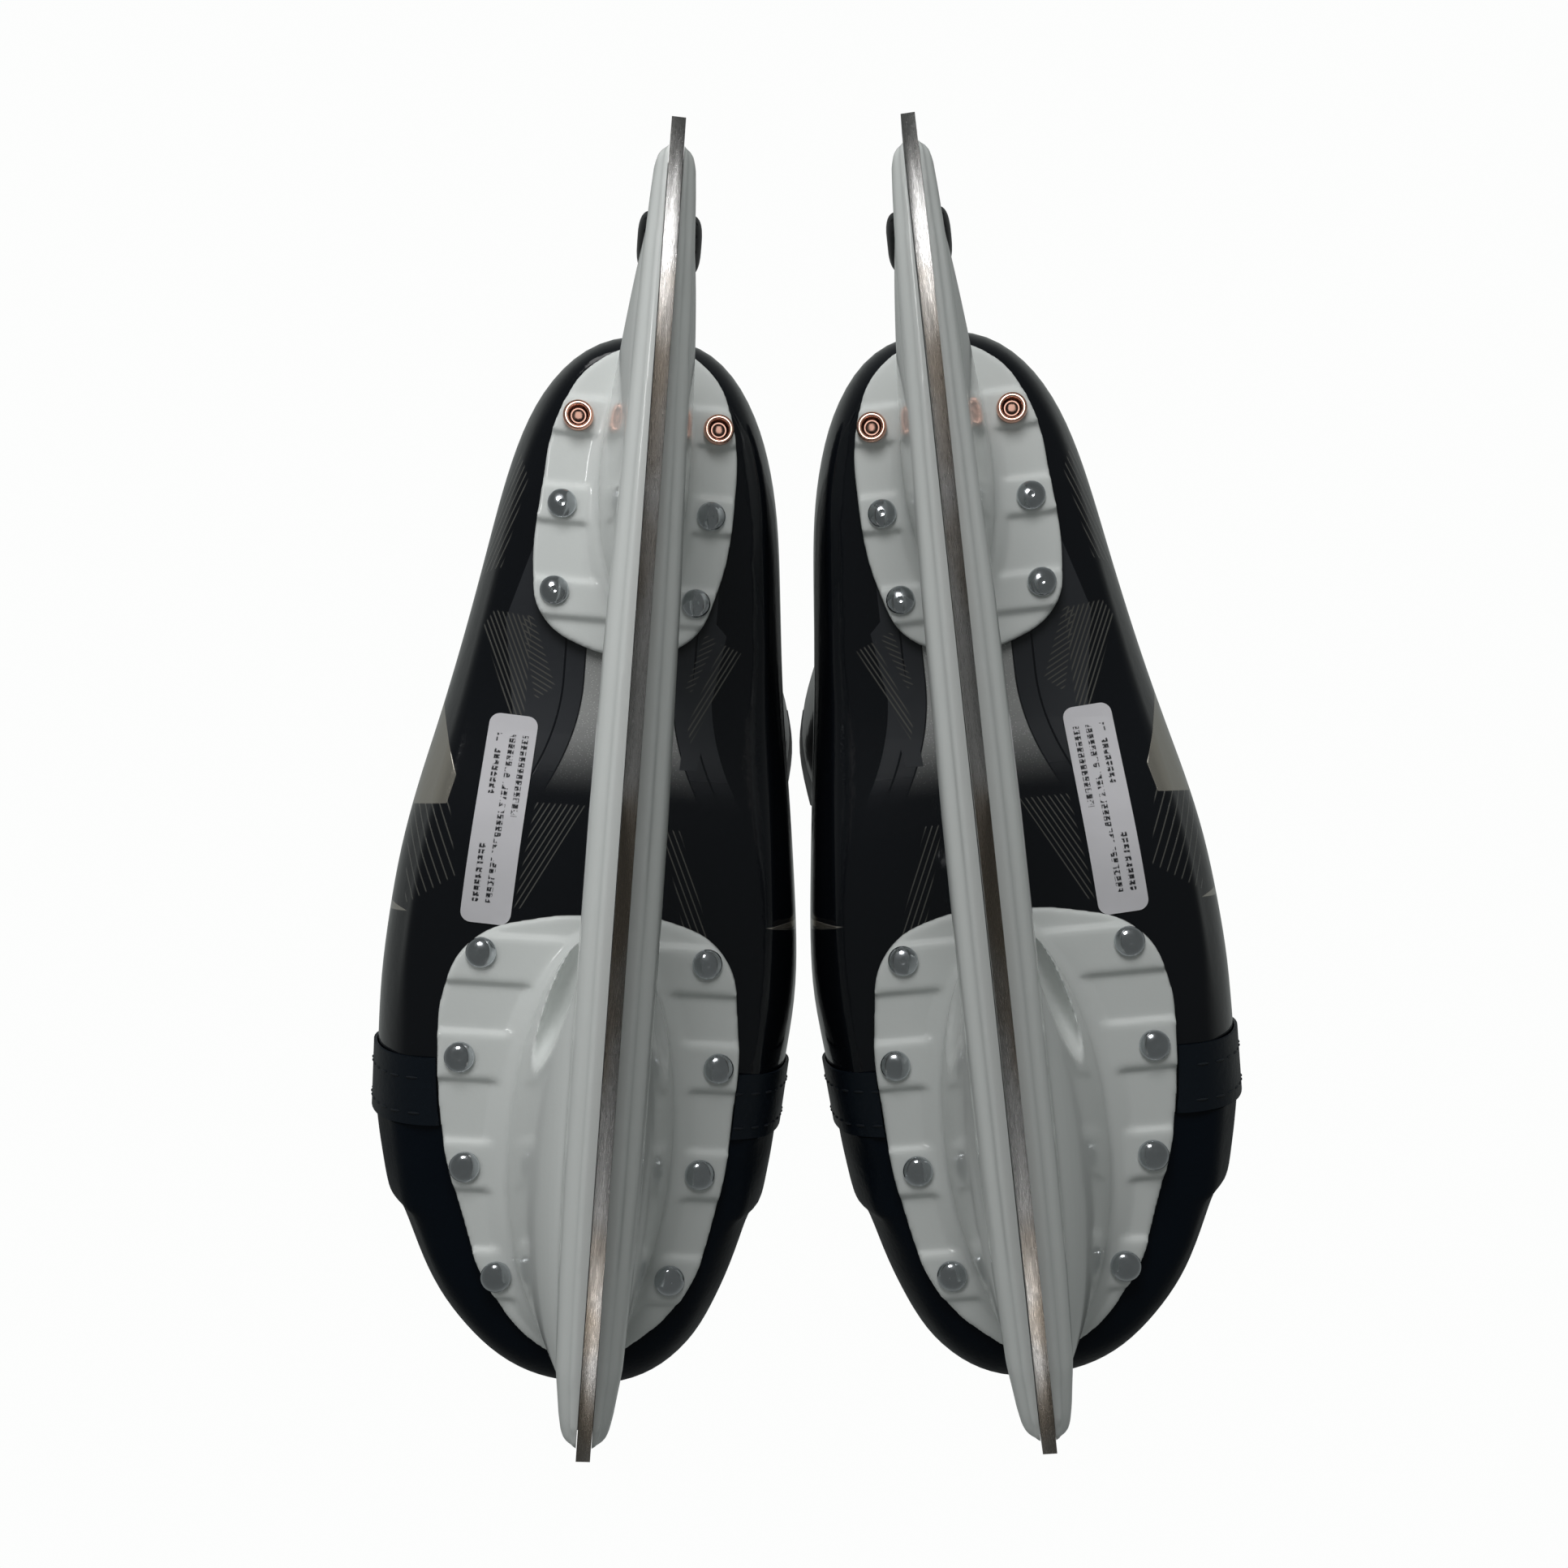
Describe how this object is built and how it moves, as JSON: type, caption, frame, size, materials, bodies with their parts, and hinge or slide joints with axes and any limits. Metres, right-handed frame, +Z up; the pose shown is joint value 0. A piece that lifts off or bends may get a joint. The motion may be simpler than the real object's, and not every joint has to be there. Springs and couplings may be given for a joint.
{
  "type": "ice hockey skates",
  "caption": "Pair of ice hockey skates with hard toe caps, hollow boots, two-tower holders, steel runners, riveted plates, hinged tongues and tendon guards.",
  "frame": {"origin": "middle of the pair on the surface that it stands on", "axes": "+Z up, toes towards -Y, wearer's left skate at +X"},
  "size_m": [0.2254, 0.2904, 0.2615],
  "materials": {
    "white_plastic": "glossy moulded plastic",
    "runner_steel": "ground and brushed along its length",
    "copper": "polished copper",
    "rivet_zinc": "bright zinc",
    "shell_gloss": "gloss black composite with matte printed bands",
    "toe_cap": "matte navy black, finely grained",
    "strip": "matte coated strip with two seams",
    "facing": "matte coated facing",
    "felt": "felt",
    "lining": "brushed microfibre over foam",
    "foam": "foam insole with woven top",
    "guard": "satin flexible plastic",
    "label": "silvery paper label",
    "lock_plastic": "satin black plastic"
  },
  "bodies": {
    "left_skate": {"left_facing_inner": "facing", "left_facing_outer": "facing", "left_footbed": "foam", "left_front_pin": "runner_steel", "left_front_rivet_inner_1": "rivet_zinc", "left_front_rivet_inner_2": "rivet_zinc", "left_front_rivet_inner_3": "rivet_zinc", "left_front_rivet_inner_4": "rivet_zinc", "left_front_rivet_outer_1": "rivet_zinc", "left_front_rivet_outer_2": "rivet_zinc", "left_front_rivet_outer_3": "rivet_zinc", "left_front_rivet_outer_4": "rivet_zinc", "left_heel_rivet_inner_1": "rivet_zinc", "left_heel_rivet_inner_2": "rivet_zinc", "left_heel_rivet_inner_3": "copper", "left_heel_rivet_outer_1": "rivet_zinc", "left_heel_rivet_outer_2": "rivet_zinc", "left_heel_rivet_outer_3": "copper", "left_holder": "white_plastic", "left_label": "label", "left_liner": "lining", "left_runner": "runner_steel", "left_shell": "shell_gloss", "left_toe_cap": "toe_cap", "left_vamp_strip": "strip"},
    "left_tongue": {"left_tongue": "felt"},
    "left_tendon_guard": {"left_tendon_guard": "guard"},
    "left_lock_dial": {"left_lock_dial": "lock_plastic"},
    "right_skate": {"right_facing_inner": "facing", "right_facing_outer": "facing", "right_footbed": "foam", "right_front_pin": "runner_steel", "right_front_rivet_inner_1": "rivet_zinc", "right_front_rivet_inner_2": "rivet_zinc", "right_front_rivet_inner_3": "rivet_zinc", "right_front_rivet_inner_4": "rivet_zinc", "right_front_rivet_outer_1": "rivet_zinc", "right_front_rivet_outer_2": "rivet_zinc", "right_front_rivet_outer_3": "rivet_zinc", "right_front_rivet_outer_4": "rivet_zinc", "right_heel_rivet_inner_1": "rivet_zinc", "right_heel_rivet_inner_2": "rivet_zinc", "right_heel_rivet_inner_3": "copper", "right_heel_rivet_outer_1": "rivet_zinc", "right_heel_rivet_outer_2": "rivet_zinc", "right_heel_rivet_outer_3": "copper", "right_holder": "white_plastic", "right_label": "label", "right_liner": "lining", "right_runner": "runner_steel", "right_shell": "shell_gloss", "right_toe_cap": "toe_cap", "right_vamp_strip": "strip"},
    "right_tongue": {"right_tongue": "felt"},
    "right_tendon_guard": {"right_tendon_guard": "guard"},
    "right_lock_dial": {"right_lock_dial": "lock_plastic"}
  },
  "joints": [
    {"name": "right_skate_apart", "type": "slide", "parent": "left_skate", "child": "right_skate", "axis": [-1, 0, 0], "range_m": [0, 0.15]},
    {"name": "left_tongue_fold", "type": "hinge", "parent": "left_skate", "child": "left_tongue", "pos_m": [0.06142, -0.06073, 0.13377], "axis": [0.9906, 0.0881, -0.1045], "range_deg": [0, 40]},
    {"name": "left_guard_flex", "type": "hinge", "parent": "left_skate", "child": "left_tendon_guard", "pos_m": [0.04899, 0.11014, 0.21452], "axis": [-0.9906, -0.0881, 0.1045], "range_deg": [0, 30], "stiffness_Nm_per_rad": 0.4},
    {"name": "left_dial_turn", "type": "hinge", "parent": "left_skate", "child": "left_lock_dial", "pos_m": [0.02802, 0.12605, 0.03397], "axis": [0.9906, 0.0881, -0.1045], "range_deg": [0, 90]},
    {"name": "right_tongue_fold", "type": "hinge", "parent": "right_skate", "child": "right_tongue", "pos_m": [-0.06142, -0.06073, 0.13377], "axis": [0.9906, -0.0881, 0.1045], "range_deg": [0, 40]},
    {"name": "right_guard_flex", "type": "hinge", "parent": "right_skate", "child": "right_tendon_guard", "pos_m": [-0.04899, 0.11014, 0.21452], "axis": [-0.9906, 0.0881, -0.1045], "range_deg": [0, 30], "stiffness_Nm_per_rad": 0.4},
    {"name": "right_dial_turn", "type": "hinge", "parent": "right_skate", "child": "right_lock_dial", "pos_m": [-0.02802, 0.12605, 0.03397], "axis": [0.9906, -0.0881, 0.1045], "range_deg": [0, 90]}
  ]
}
